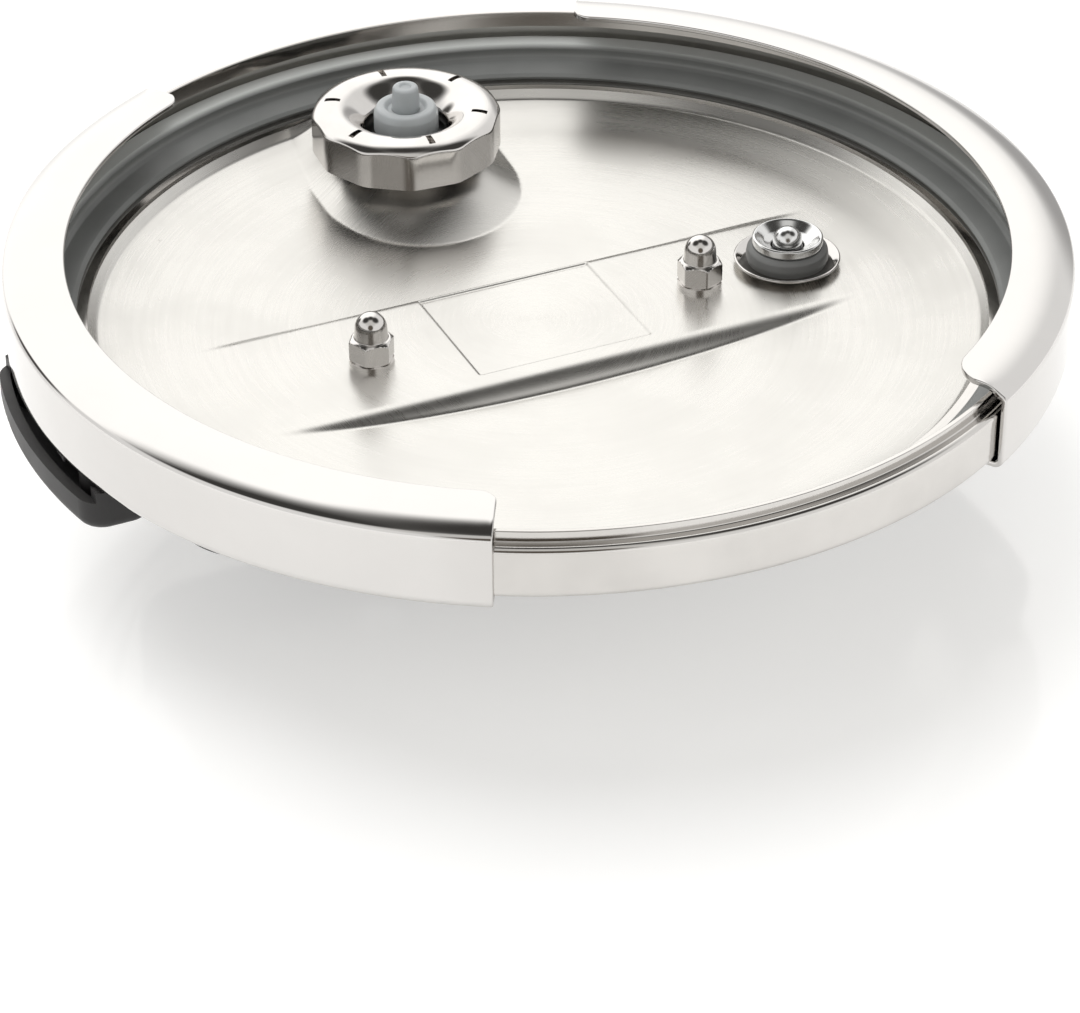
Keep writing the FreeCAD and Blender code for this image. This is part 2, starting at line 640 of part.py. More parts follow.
def knob_body():
    """Hollow turn knob with a hub that reaches through the housing to the cam."""
    shell = turned([
        (0, 0), (KNOB_R - 3.5, 0), (KNOB_R, 3.5, KNOB_R - 1.02, 1.02), (KNOB_R, KNOB_TOP),
        (KNOB_R - 2.6, KNOB_TOP), (KNOB_R - 2.6, 5.0), (HUB_R, 5.0), (HUB_R, CAM_Z), (0, CAM_Z)])
    shell = shell.cut(tube(AXLE_R + FIT, 0, 5.0, 40)).cut(tube(7.0, 0, 5.0, 7.6))
    shell = shell.cut(tube(20.0, 0, -1, 1.5))
    for k in range(24):
        flute = tube(1.5, 0, 5, KNOB_TOP + 1, KNOB_R + 0.6, 0)
        flute.rotate(AXIS, UP, 15 * k)
        shell = shell.cut(flute)
    for angle in (45, 225):
        x, y = 7.0 * math.cos(math.radians(angle)), 7.0 * math.sin(math.radians(angle))
        shell = shell.cut(tube(1.2, 0, CAM_Z - 6, CAM_Z + 1, x, y))
    return shell.removeSplitter()


def knob_plate():
    """Steel disc let into the knob's face."""
    return tube(20.0, 0, 0.3, 1.5)


def housing_outer(shrink, z0):
    """Long block with rounded ends, shrunk on every side."""
    return rounded_block(-HOUSING_X + shrink, HOUSING_X - shrink, -HOUSING_Y + shrink,
                         HOUSING_Y - shrink, z0, 60, HOUSING_CORNER - shrink)


def housing():
    """Moulded housing over the mechanism; its rim follows the lid's dome."""
    outer = housing_outer(0, HOUSING_Z)
    face_edges = [e for e in outer.Edges if abs(e.CenterOfMass.z - HOUSING_Z) < 0.01]
    outer = outer.makeFillet(1.6, face_edges)
    body = outer.cut(housing_outer(HOUSING_WALL, HOUSING_Z + HOUSING_WALL))
    body = body.cut(above_lid(LID_GAP))
    for sx in (-1, 1):
        post = tube(7.0, 0, HOUSING_Z + 0.5, HOUSING_Z + 3.4, sx * STUD_X)
        body = body.fuse(post)
        body = body.cut(tube(STUD_R + 0.1, 0, 20, 40, sx * STUD_X))
        body = body.cut(tube(5.4, 0, 20, HOUSING_Z + 2.0, sx * STUD_X))
        x0, x1 = sorted((sx * (HOUSING_X - 6), sx * (HOUSING_X + 6)))
        body = body.cut(block(x0, x1, -ARM_HALF - 0.6, ARM_HALF + 0.6, ARM_Z - 0.5, 60))
    body = body.cut(tube(HUB_R + 0.8, 0, 20, 40))
    return body.removeSplitter()


def guide_rails():
    """Low rails that keep the arms straight, two on each side."""
    rails = []
    for sx in (-1, 1):
        for sy in (-1, 1):
            x0, x1 = sorted((sx * 48, sx * 84))
            y0, y1 = sorted((sy * (ARM_HALF + 0.3), sy * (ARM_HALF + 5)))
            rails.append(block(x0, x1, y0, y1, HOUSING_Z + HOUSING_WALL, PLATE_Z - 0.6))
    return Part.makeCompound(rails)


def make_all():
    """Build every node and write it."""
    lid_nodes = {
        "lid_body": lid_body(), "gasket": gasket(), "acorn_nuts": acorn_nuts(),
        "nut_washers": nut_washers(), "seal_washers": seal_washers(),
        "stud_spacers": stud_spacers(), "stud_bolts": stud_bolts(),
        "guide_sleeves": guide_sleeves(), "safety_ring": safety_ring(),
        "safety_grommet": safety_grommet(), "safety_core": safety_core(),
        "safety_pin": safety_pin(), "safety_spring": safety_spring(),
        "valve_cap": valve_cap(), "cap_washer": cap_washer(), "valve_body": valve_body(),
        "valve_seal": valve_seal(), "valve_core": valve_core(), "valve_peg": valve_peg(),
        "selector_knob": selector_knob(), "steam_plunger": steam_plunger(),
        "steam_spring": steam_spring(), "bridge_plate": bridge_plate(), "axle": axle(),
        "axle_clip": axle_clip(), "cam_disc": cam_disc(), "cam_screws": cam_screws(),
        "knob_body": knob_body(), "knob_plate": knob_plate(), "housing": housing(),
        "guide_rails": guide_rails()}
    for name, shape in lid_nodes.items():
        save(shape, name)
    save(jaw(*JAW_RIGHT), "jaw_right")
    left_jaw = jaw(*JAW_LEFT)
    left_jaw.rotate(AXIS, UP, 180)
    save(left_jaw, "jaw_left")
    sides = {"arm": arm(), "cam_pin": cam_pin(), "jaw_rivets": jaw_rivets(),
             "grip": grip(), "grip_screws": grip_screws()}
    for name, shape in sides.items():
        save(shape, f"{name}_right")
        twin = shape.copy()
        twin.rotate(AXIS, UP, 180)
        save(twin, f"{name}_left")


make_all()
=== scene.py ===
"""Looks of a clamp-jaw pressure cooker lid that lies upside down on its knob.

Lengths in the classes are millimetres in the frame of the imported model: the origin is the centre of
the knob's face, X runs from jaw to jaw and Z points out of the lid's underside.
"""

import json
import logging
import math
from collections.abc import Callable, Sequence
from dataclasses import dataclass, field
from enum import Enum

import bmesh
import bpy
import numpy as np
from mathutils import Matrix, Vector


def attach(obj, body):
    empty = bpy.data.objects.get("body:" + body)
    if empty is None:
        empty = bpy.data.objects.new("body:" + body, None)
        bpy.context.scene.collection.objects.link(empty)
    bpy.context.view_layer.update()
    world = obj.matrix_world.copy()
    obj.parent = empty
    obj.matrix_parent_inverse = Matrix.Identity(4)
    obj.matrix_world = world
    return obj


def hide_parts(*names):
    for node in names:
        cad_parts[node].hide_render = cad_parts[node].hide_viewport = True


MM = 0.001
FULL_TURN = 2.0 * math.pi
SHARP_ANGLE = math.radians(32.0)

log = logging.getLogger("lid")
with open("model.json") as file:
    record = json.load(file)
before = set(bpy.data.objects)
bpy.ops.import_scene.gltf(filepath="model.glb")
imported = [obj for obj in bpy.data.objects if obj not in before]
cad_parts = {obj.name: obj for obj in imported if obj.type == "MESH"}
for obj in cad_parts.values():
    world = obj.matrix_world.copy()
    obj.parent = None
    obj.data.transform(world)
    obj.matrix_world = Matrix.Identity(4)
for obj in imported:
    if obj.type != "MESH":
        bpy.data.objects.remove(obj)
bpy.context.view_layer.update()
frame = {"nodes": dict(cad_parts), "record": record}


class Brush(Enum):
    """Direction in which a metal surface was finished."""

    NONE = "none"
    ROUND = "round"
    ALONG_X = "along_x"


# ------------------------------------------------------------------ mesh tools
def quads_of_grid(rows: int, cols: int, wrap_cols: bool = False) -> np.ndarray:
    """Corner indices of the faces of a rows by cols grid, stored row by row.

    Args:
        rows: number of grid rows.
        cols: number of points in a row.
        wrap_cols: whether the last column joins the first.

    Returns:
        One row of four indices for each face.
    """
    col = np.arange(cols if wrap_cols else cols - 1)
    row = np.arange(rows - 1)[:, None]
    after = (col + 1) % cols
    here, there = row * cols, (row + 1) * cols
    faces = np.stack([here + col, here + after, there + after, there + col], axis=-1)
    return faces.reshape(-1, 4)


def make_piece(name: str, points: np.ndarray, faces: np.ndarray, sharp: float = SHARP_ANGLE) -> bpy.types.Object:
    """Make one closed mesh piece with its doubles merged and its faces outwards.

    Args:
        name: name of the object.
        points: vertex places in millimetres, one row each.
        faces: four vertex indices for each face.
        sharp: edges that turn by more than this stay sharp, in radians.

    Returns:
        The new object, with its place in its mesh.
    """
    mesh = bpy.data.meshes.new(name)
    mesh.from_pydata((points * MM).tolist(), [], faces.tolist())
    work = bmesh.new()
    work.from_mesh(mesh)
    bmesh.ops.remove_doubles(work, verts=work.verts, dist=2e-6)
    bmesh.ops.dissolve_degenerate(work, edges=work.edges, dist=1e-7)
    bmesh.ops.recalc_face_normals(work, faces=work.faces)
    work.to_mesh(mesh)
    work.free()
    mesh.shade_smooth()
    mesh.set_sharp_from_angle(angle=sharp)
    piece = bpy.data.objects.new(name, mesh)
    bpy.context.scene.collection.objects.link(piece)
    return piece


def filleted(corners: Sequence[tuple[float, ...]], closed: bool = True, arc_step: float = 12.0) -> np.ndarray:
    """Polyline through corners (a, b, radius), where each corner is cut by a round arc.

    The arc touches both sides at radius / tan(half the corner angle) from the corner and its
    points are spherical mixes of its two end directions.

    Args:
        corners: places in a plane, with an optional fillet radius each.
        closed: whether the last corner joins the first.
        arc_step: degrees of turn between points of an arc.

    Returns:
        The points, one row each, and the first repeated at the end when closed.
    """
    spots = np.array([corner[:2] for corner in corners], float)
    count = len(corners)
    rows = []
    for i, corner in enumerate(corners):
        radius = corner[2] if len(corner) > 2 else 0.0
        here = spots[i]
        if radius <= 0 or (not closed and i in (0, count - 1)):
            rows.append(here[None])
            continue
        before, after = spots[i - 1] - here, spots[(i + 1) % count] - here
        u, v = before / np.linalg.norm(before), after / np.linalg.norm(after)
        half = math.acos(float(np.clip(u @ v, -1, 1))) / 2
        reach = min(radius / math.tan(half), 0.495 * min(np.linalg.norm(before), np.linalg.norm(after)))
        radius = reach * math.tan(half)
        centre = here + (u + v) / np.linalg.norm(u + v) * radius / math.sin(half)
        first, last = (here + u * reach - centre) / radius, (here + v * reach - centre) / radius
        turn = math.pi - 2 * half
        mix = np.linspace(0, 1, max(3, int(math.degrees(turn) / arc_step) + 1))[:, None]
        arc = (np.sin((1 - mix) * turn) * first + np.sin(mix * turn) * last) / math.sin(turn)
        rows.append(centre + radius * arc)
    line = np.concatenate(rows)
    return np.concatenate([line, line[:1]]) if closed else line


def subdivided(line: np.ndarray, step: float) -> np.ndarray:
    """The polyline with extra points so that no run is longer than a step."""
    runs = np.linalg.norm(np.diff(line, axis=0), axis=1)
    parts = [np.linspace(a, b, max(1, int(math.ceil(run / step))), endpoint=False)
             for a, b, run in zip(line[:-1], line[1:], runs)]
    return np.concatenate(parts + [line[-1:]])


def revolved(line: np.ndarray, segments: int, centre: tuple[float, float] = (0.0, 0.0),
             shape: Callable[[np.ndarray, np.ndarray, np.ndarray], np.ndarray] | None = None,
             angles: np.ndarray | None = None) -> tuple[np.ndarray, np.ndarray]:
    """Surface of revolution about an upright axis: x = r cos a, y = r sin a, z = height.

    Args:
        line: (radius, height) rows.
        segments: number of columns round the axis.
        centre: where the axis stands.
        shape: optional function of (radius, angle, height) grids that returns new radii.
        angles: column angles to use in place of even ones.

    Returns:
        Points and faces.
    """
    turn = np.linspace(0, FULL_TURN, segments, endpoint=False) if angles is None else angles
    radius, angle = np.meshgrid(line[:, 0], turn, indexing="ij")
    height = np.broadcast_to(line[:, 1:2], radius.shape)
    if shape is not None:
        radius = shape(radius, angle, height)
    points = np.stack([centre[0] + radius * np.cos(angle), centre[1] + radius * np.sin(angle), height], -1)
    return points.reshape(-1, 3), quads_of_grid(len(line), len(turn), True)


def sheet_solid(middle: np.ndarray, normal: np.ndarray, half: np.ndarray) -> tuple[np.ndarray, np.ndarray]:
    """Solid sheet about a middle surface: both faces lie half a thickness along the normal.

    Args:
        middle: rows by columns by 3 places.
        normal: unit normals of the same shape.
        half: half thickness at each place.

    Returns:
        Points and faces of the closed sheet.
    """
    rows, cols = half.shape
    front, back = middle + normal * half[..., None], middle - normal * half[..., None]
    faces = quads_of_grid(rows, cols)
    count = rows * cols
    index = np.arange(count).reshape(rows, cols)
    border = np.concatenate([index[0, :-1], index[:-1, -1], index[-1, :0:-1], index[:0:-1, 0]])
    following = np.roll(border, -1)
    wall = np.stack([border, following, following + count, border + count], axis=1)
    points = np.concatenate([front.reshape(-1, 3), back.reshape(-1, 3)])
    return points, np.concatenate([faces, faces[:, ::-1] + count, wall])


def smoothstep(value: np.ndarray, low: float, high: float) -> np.ndarray:
    """0 below low, 1 above high and a cubic ease between."""
    t = np.clip((value - low) / (high - low), 0, 1)
    return t * t * (3 - 2 * t)


def soft_max(a: np.ndarray, b: np.ndarray, width: float) -> np.ndarray:
    """The larger of two heights, with a round join of the given width."""
    h = np.clip(0.5 + 0.5 * (a - b) / width, 0, 1)
    return b + (a - b) * h + width * h * (1 - h)


def soft_min(a: np.ndarray, b: np.ndarray, width: float) -> np.ndarray:
    """The smaller of two values, with a round join of the given width."""
    return -soft_max(-a, -b, width)


def half_turned(points: np.ndarray) -> np.ndarray:
    """The points turned by half a turn about the lid's axis."""
    return points * np.array([-1.0, -1.0, 1.0])


def dress(piece: bpy.types.Object, material: bpy.types.Material, slot: str, body: str, *nodes: str) -> None:
    """Give a piece its material and its body, and hide the CAD nodes that it stands for; the slot argument is not
    used.
    """
    piece.data.materials.clear()
    piece.data.materials.append(material)
    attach(piece, body)
    if nodes:
        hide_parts(*nodes)
    log.info("%s rides on %s, %d faces", piece.name, body, len(piece.data.polygons))


# ------------------------------------------------------------------ materials
class NodeSheet:
    """Short hand for adding and linking shader nodes of one tree."""

    def __init__(self, tree: bpy.types.NodeTree) -> None:
        """Start with an empty tree."""
        tree.nodes.clear()
        self.tree = tree

    def add(self, kind: str, settings: dict | None = None, **inputs: object) -> bpy.types.Node:
        """Add a node.

        Args:
            kind: Blender's node type.
            settings: properties of the node.
            **inputs: values or output sockets by input name, with _ for a space.

        Returns:
            The node.
        """
        node = self.tree.nodes.new(kind)
        for key, value in (settings or {}).items():
            setattr(node, key, value)
        for key, value in inputs.items():
            self.feed(node, key.replace("_", " "), value)
        return node

    def feed(self, node: bpy.types.Node, key: str | int, value: object) -> None:
        """Set an input to a value, or link it to an output socket."""
        socket = node.inputs[key]
        if isinstance(value, bpy.types.NodeSocket):
            self.tree.links.new(value, socket)
        else:
            socket.default_value = value

    def math(self, operation: str, a: object, b: object = 0.0, clamp: bool = False) -> bpy.types.NodeSocket:
        """One math node on two values; returns its output."""
        node = self.add("ShaderNodeMath", {"operation": operation, "use_clamp": clamp})
        self.feed(node, 0, a)
        self.feed(node, 1, b)
        return node.outputs[0]

    def vector(self, operation: str, a: object, b: object = (0, 0, 0)) -> bpy.types.Node:
        """One vector math node on two vectors."""
        node = self.add("ShaderNodeVectorMath", {"operation": operation})
        self.feed(node, 0, a)
        self.feed(node, 1, b)
        return node

    def ramp(self, value: bpy.types.NodeSocket, low: float, high: float, to_low: float = 0.0,
             to_high: float = 1.0) -> bpy.types.NodeSocket:
        """Smooth step of a value from one range to another."""
        node = self.add("ShaderNodeMapRange", {"interpolation_type": "SMOOTHSTEP"}, Value=value,
                        From_Min=low, From_Max=high, To_Min=to_low, To_Max=to_high)
        return node.outputs[0]

    def blend(self, amount: object, a: object, b: object) -> bpy.types.NodeSocket:
        """Colour mix from a to b."""
        node = self.add("ShaderNodeMix", {"data_type": "RGBA"})
        self.feed(node, 0, amount)
        self.feed(node, 6, a)
        self.feed(node, 7, b)
        return node.outputs[2]


def rgba(colour: Sequence[float]) -> tuple[float, float, float, float]:
    """A colour with full alpha."""
    return (colour[0], colour[1], colour[2], 1.0)


@dataclass(frozen=True)
class Steel:
    """Metal finish: tint, roughness and how it was brushed or polished."""

    name: str
    tint: tuple[float, float, float]
    roughness: float
    spread: float = 0.04
    brush: Brush = Brush.NONE
    grain: float = 2200.0
    bump: float = 0.0
    anisotropy: float = 0.0
    smudge: float = 0.03
    centre: tuple[float, float, float] = (0.0, 0.0, 0.0)

    def make(self) -> bpy.types.Material:
        """Build the material.

        Fine brush lines are noise stretched along the brush; smudges are broad noise that makes the
        metal a little darker and rougher. Both read the piece's own coordinates.
        """
        material = bpy.data.materials.new(self.name)
        material.use_nodes = True
        sheet = NodeSheet(material.node_tree)
        place = sheet.add("ShaderNodeTexCoord").outputs["Object"]
        place = sheet.vector("SUBTRACT", place, tuple(c * MM for c in self.centre)).outputs[0]
        lines = self.brush_lines(sheet, place)
        cloud = sheet.add("ShaderNodeTexNoise", Vector=place, Scale=38.0, Detail=4.0, Roughness=0.55)
        haze = sheet.ramp(cloud.outputs["Fac"], 0.35, 0.7)
        worn = tuple(c * (1 - self.smudge * 2.2) for c in self.tint)
        colour = sheet.blend(haze, rgba(self.tint), rgba(worn))
        streak = sheet.ramp(lines, 0.3, 0.75)
        colour = sheet.blend(sheet.math("MULTIPLY", streak, self.smudge * 2.0),
                             colour, rgba(tuple(c * 0.55 for c in self.tint)))
        rough = sheet.math("ADD", sheet.math("MULTIPLY", streak, self.spread),
                           sheet.math("MULTIPLY", haze, self.spread))
        rough = sheet.math("ADD", rough, self.roughness)
        shader = sheet.add("ShaderNodeBsdfPrincipled", Base_Color=colour, Metallic=1.0, Roughness=rough)
        if self.bump > 0:
            relief = sheet.add("ShaderNodeBump", Strength=self.bump, Distance=0.00004, Height=lines)
            sheet.feed(shader, "Normal", relief.outputs[0])
        if self.anisotropy > 0:
            shader.inputs["Anisotropic"].default_value = self.anisotropy
            sheet.feed(shader, "Tangent", self.tangent(sheet, place))
        out = sheet.add("ShaderNodeOutputMaterial")
        sheet.feed(out, "Surface", shader.outputs[0])
        return material

    def brush_lines(self, sheet: NodeSheet, place: bpy.types.NodeSocket) -> bpy.types.NodeSocket:
        """Noise drawn out along the brush direction."""
        if self.brush is Brush.ROUND:
            split = sheet.add("ShaderNodeSeparateXYZ", Vector=place)
            flat = sheet.add("ShaderNodeCombineXYZ", X=split.outputs[0], Y=split.outputs[1])
            radius = sheet.vector("LENGTH", flat.outputs[0]).outputs["Value"]
            around = sheet.vector("NORMALIZE", flat.outputs[0]).outputs[0]
            turned = sheet.add("ShaderNodeSeparateXYZ", Vector=around)
            place = sheet.add("ShaderNodeCombineXYZ",
                              X=sheet.math("MULTIPLY", radius, self.grain),
                              Y=sheet.math("MULTIPLY", turned.outputs[0], 2.6),
                              Z=sheet.math("MULTIPLY", turned.outputs[1], 2.6)).outputs[0]
            noise = sheet.add("ShaderNodeTexNoise", Vector=place, Scale=1.0, Detail=3.0, Roughness=0.7)
            return noise.outputs["Fac"]
        stretch = (self.grain * 0.02, self.grain, self.grain) if self.brush is Brush.ALONG_X else (160.0,) * 3
        place = sheet.vector("MULTIPLY", place, stretch).outputs[0]
        return sheet.add("ShaderNodeTexNoise", Vector=place, Scale=1.0, Detail=3.0, Roughness=0.6).outputs["Fac"]

    def tangent(self, sheet: NodeSheet, place: bpy.types.NodeSocket) -> bpy.types.NodeSocket:
        """Direction round the upright axis, which a round brush follows."""
        around = sheet.vector("CROSS_PRODUCT", (0.0, 0.0, 1.0), place).outputs[0]
        return sheet.vector("NORMALIZE", around).outputs[0]


@dataclass(frozen=True)
class Moulded:
    """Rubber or plastic finish with a fine grain, and light through it where it is milky."""

    name: str
    colour: tuple[float, float, float]
    roughness: float
    grain: float = 2600.0
    bump: float = 0.12
    milky: float = 0.0
    clear: float = 0.0
    coat: float = 0.0
    # Painted highlight: two radii and a factor; between the radii the colour is made lighter to stand in for light
    # falling on the seal's lip.
    painted_highlight_band: tuple[float, float, float] | None = None

    def make(self) -> bpy.types.Material:
        """Build the material: noise gives the grain and a slow change of tone; the optional band is a painted
        highlight, a pair of radii between which the rubber is painted lighter to stand in for light on its lip, and
        by how much."""
        material = bpy.data.materials.new(self.name)
        material.use_nodes = True
        sheet = NodeSheet(material.node_tree)
        place = sheet.add("ShaderNodeTexCoord").outputs["Object"]
        fine = sheet.add("ShaderNodeTexNoise", Vector=place, Scale=self.grain, Detail=2.0)
        broad = sheet.add("ShaderNodeTexNoise", Vector=place, Scale=60.0, Detail=3.0)
        tone = sheet.ramp(broad.outputs["Fac"], 0.3, 0.75)
        colour = sheet.blend(tone, rgba(self.colour), rgba(tuple(c * 0.86 for c in self.colour)))
        # Painted highlight: the colour is made lighter in a ring between two radii, standing in for light on the
        # lip.
        if self.painted_highlight_band:
            split = sheet.add("ShaderNodeSeparateXYZ", Vector=place)
            flat = sheet.add("ShaderNodeCombineXYZ", X=split.outputs[0], Y=split.outputs[1])
            radius = sheet.vector("LENGTH", flat.outputs[0]).outputs["Value"]
            lit = sheet.ramp(radius, self.painted_highlight_band[0] * MM, self.painted_highlight_band[1] * MM)
            colour = sheet.blend(lit, colour, rgba(tuple(c * self.painted_highlight_band[2] for c in self.colour)))
        rough = sheet.math("ADD", sheet.math("MULTIPLY", tone, 0.08), self.roughness)
        relief = sheet.add("ShaderNodeBump", Strength=self.bump, Distance=0.00003, Height=fine.outputs["Fac"])
        shader = sheet.add("ShaderNodeBsdfPrincipled", Base_Color=colour, Roughness=rough, Normal=relief.outputs[0])
        shader.inputs["Subsurface Weight"].default_value = self.milky
        shader.inputs["Subsurface Radius"].default_value = (0.004, 0.004, 0.004)
        shader.inputs["Subsurface Scale"].default_value = 1.0
        shader.inputs["Transmission Weight"].default_value = self.clear
        shader.inputs["Coat Weight"].default_value = self.coat
        shader.inputs["IOR"].default_value = 1.42
        out = sheet.add("ShaderNodeOutputMaterial")
        sheet.feed(out, "Surface", shader.outputs[0])
        return material


@dataclass
class Finishes:
    """Every material of the lid, made once."""

    panel: bpy.types.Material = field(init=False)
    rim: bpy.types.Material = field(init=False)
    jaw: bpy.types.Material = field(init=False)
    polished: bpy.types.Material = field(init=False)
    turned: bpy.types.Material = field(init=False)
    plain: bpy.types.Material = field(init=False)
    seal: bpy.types.Material = field(init=False)
    grommet: bpy.types.Material = field(init=False)
    core: bpy.types.Material = field(init=False)
    plastic: bpy.types.Material = field(init=False)

    def __post_init__(self) -> None:
        """Make the materials."""
        self.panel = Steel("spun_steel", (0.64, 0.627, 0.6), 0.25, 0.04, Brush.ROUND, 1900.0, 0.06, 0.5,
                           0.012, (0.0, 2.4, 0.0)).make()
        self.rim = Steel("rim_steel", (0.63, 0.612, 0.59), 0.09, 0.04, Brush.ROUND, 1500.0, 0.05, 0.0, 0.04).make()
        self.jaw = Steel("jaw_steel", (0.64, 0.625, 0.61), 0.06, 0.015, smudge=0.01).make()
        self.polished = Steel("polished_steel", (0.68, 0.66, 0.64), 0.07, 0.03, smudge=0.04).make()
        self.turned = Steel("turned_metal", (0.74, 0.74, 0.735), 0.13, 0.05, Brush.ROUND, 2600.0, 0.2).make()
        self.plain = Steel("plain_steel", (0.55, 0.55, 0.56), 0.3, 0.1, Brush.ALONG_X, 1800.0, 0.25).make()
        # The seal's lip ring is painted 3.6 times lighter, a painted highlight.
        self.seal = Moulded("seal_silicone", (0.17, 0.175, 0.17), 0.34, painted_highlight_band=(110.6, 112.2, 3.6)).make()
        self.grommet = Moulded("grommet_silicone", (0.17, 0.172, 0.168), 0.42).make()
        self.core = Moulded("milky_silicone", (0.62, 0.65, 0.66), 0.3, bump=0.05, milky=0.5, clear=0.35).make()
        self.plastic = Moulded("black_plastic", (0.022, 0.021, 0.021), 0.42, 1800.0, 0.25).make()


# ------------------------------------------------------------------ the lid
@dataclass
class LidPanel:
    """Pressed middle of the lid: dome, bar with recess, valve boss and cove."""

    edge_r: float = 100.0
    edge_z: float = 50.0
    seat_r: float = 103.2
    seat_z: float = 53.0
    sag: float = 6.6
    roll_start: float = 88.0
    roll_rise: float = 1.2
    sheet: float = 1.2
    bar_top: float = 46.0
    bar_half: float = 21.0
    bar_slope: float = 1.11
    recess: tuple[float, float, float] = (21.3, 17.8, 2.4)
    recess_depth: float = 0.6
    boss_y: float = 69.0
    boss_r: float = 24.5
    neck_y: float = 77.0
    neck_r: float = 14.0
    pad_x: float = 63.7
    pad_r: float = 13.2

    def dome(self, radius: np.ndarray) -> np.ndarray:
        """Dish height: a parabola, a second one that rolls up to the crease, then the cove."""
        dish = self.edge_z - self.roll_rise - self.sag * (1 - (radius / self.edge_r) ** 2)
        roll = np.clip((radius - self.roll_start) / (self.edge_r - self.roll_start), 0, None)
        cove = self.edge_z + (self.seat_z - self.edge_z) * (radius - self.edge_r) / (self.seat_r - self.edge_r)
        panel = dish + self.roll_rise * np.minimum(roll, 1) ** 2
        return np.where(radius < self.edge_r, panel, np.minimum(cove, self.seat_z))

    def boss_share(self, x: np.ndarray, y: np.ndarray) -> np.ndarray:
        """How far up the boss a place lies, 0 at its foot line and 1 at its neck.

        Round the front the foot circle shrinks and slides towards the neck circle, so the share is
        the smaller root of a quadratic; beside the neck the foot line is straight and narrows.
        """
        slide, shrink = self.neck_y - self.boss_y, self.boss_r - self.neck_r
        depth = y - self.boss_y
        a = shrink ** 2 - slide ** 2
        b = 2 * (self.boss_r * shrink - slide * depth)
        c = self.boss_r ** 2 - x ** 2 - depth ** 2
        front = (b - np.sqrt(np.maximum(b * b - 4 * a * c, 0))) / (2 * a)
        side = (self.boss_r - 0.12 * np.maximum(depth - slide, 0) - np.abs(x)) / shrink
        share = np.where(depth > slide * np.clip(front, 0, 1), side, front)
        return np.clip(share, 0, 1)

    def height(self, x: np.ndarray, y: np.ndarray) -> np.ndarray:
        """Height of the upper face over a place of the plan."""
        dish = self.dome(np.hypot(x, y))
        away = np.abs(y) - self.bar_half
        slope = self.bar_slope * soft_max(away, np.zeros_like(away), 2.4)
        level = soft_max(dish, self.bar_top - slope, 0.5)
        rx, ry, mid = self.recess
        inside = smoothstep(rx - np.abs(x), -0.35, 0.55) * smoothstep(ry - np.abs(y - mid), -0.35, 0.55)
        level = level - self.recess_depth * inside
        near = np.hypot(x - self.pad_x, y)
        pad = smoothstep(-near, -self.pad_r - 0.7, -self.pad_r)
        level = np.where(x > 40, level + (self.bar_top - level) * pad, level)
        share = self.boss_share(x, y)
        top = 0.62 * share + 0.38 * share ** 2
        return level + (self.seat_z - level) * top

    def lines(self) -> tuple[np.ndarray, np.ndarray]:
        """Grid lines across the square that becomes the disc, close together where edges run."""
        def packed(stops: Sequence[tuple[float, float]]) -> np.ndarray:
            """Places from stop to stop, each stretch with its own step."""
            parts = [np.arange(a, b, step) for (a, step), (b, _) in zip(stops[:-1], stops[1:])]
            return np.concatenate(parts + [np.array([stops[-1][0]])])
        end = self.seat_r + 0.4
        across = packed([
            (-end, 0.45), (-self.edge_r, 0.4), (-98, 1.3), (-29, 0.55), (-22.2, 0.25), (-20.2, 0.55), (20.4, 0.25),
            (22.3, 0.6), (29, 1.0), (50, 0.7), (78, 1.3), (98, 0.4), (self.edge_r, 0.45), (end, 0.5)])
        along = packed([
            (-end, 0.45), (-self.edge_r, 0.4), (-98, 1.3), (-25, 0.35), (-19.5, 0.6), (-16.3, 0.25), (-14.5, 0.9),
            (19.0, 0.25), (25, 0.8), (42, 0.5), (98, 0.4), (self.edge_r, 0.45), (end, 0.4)])
        return across, along

    def build(self) -> bpy.types.Object:
        """Square grid pushed out to a disc: near the middle it stays straight, at the edge a line of
        the square becomes a circle, because each place is scaled by its square norm over its length."""
        across, along = self.lines()
        x, y = np.meshgrid(across, along)
        square, length = np.maximum(np.abs(x), np.abs(y)), np.maximum(np.hypot(x, y), 1e-9)
        share = smoothstep(square, 55.0, self.seat_r - 1.5)
        scale = 1 + (square / length - 1) * share
        x, y = x * scale, y * scale
        top = np.stack([x, y, self.height(x, y)], -1)
        down = np.zeros_like(top)
        down[..., 2] = 1.0
        half = np.full(x.shape, self.sheet / 2)
        points, faces = sheet_solid(top - down * (self.sheet / 2), down, half)
        return make_piece("lid_panel", points, faces, math.radians(60))


@dataclass
class LidRim:
    """Seat, band, rounded shoulder and upstanding flange of the lid, turned about its axis."""

    seat_r: float = 103.2
    seat_z: float = 53.0
    sheet: float = 1.2
    band_r: float = 118.5
    shoulder_z: float = 64.0
    flange_r: float = 115.8
    top: float = 66.6
    segments: int = 480

    def build(self) -> bpy.types.Object:
        """Closed profile of the sheet with its bends as arcs."""
        t = self.sheet
        low = self.seat_z - t
        line = filleted([
            (self.seat_r - 1.2, self.seat_z), (self.band_r - t, self.seat_z, 1.0),
            (self.band_r - t, self.shoulder_z - t, 1.3), (self.flange_r - t, self.shoulder_z - t),
            (self.flange_r - t, self.top, 0.25), (self.flange_r, self.top, 0.25),
            (self.flange_r, self.shoulder_z, 0.3), (self.band_r, self.shoulder_z, 2.4),
            (self.band_r, low, 1.6), (self.seat_r - 1.2, low)])
        points, faces = revolved(subdivided(line, 1.6), self.segments)
        return make_piece("lid_rim", points, faces)


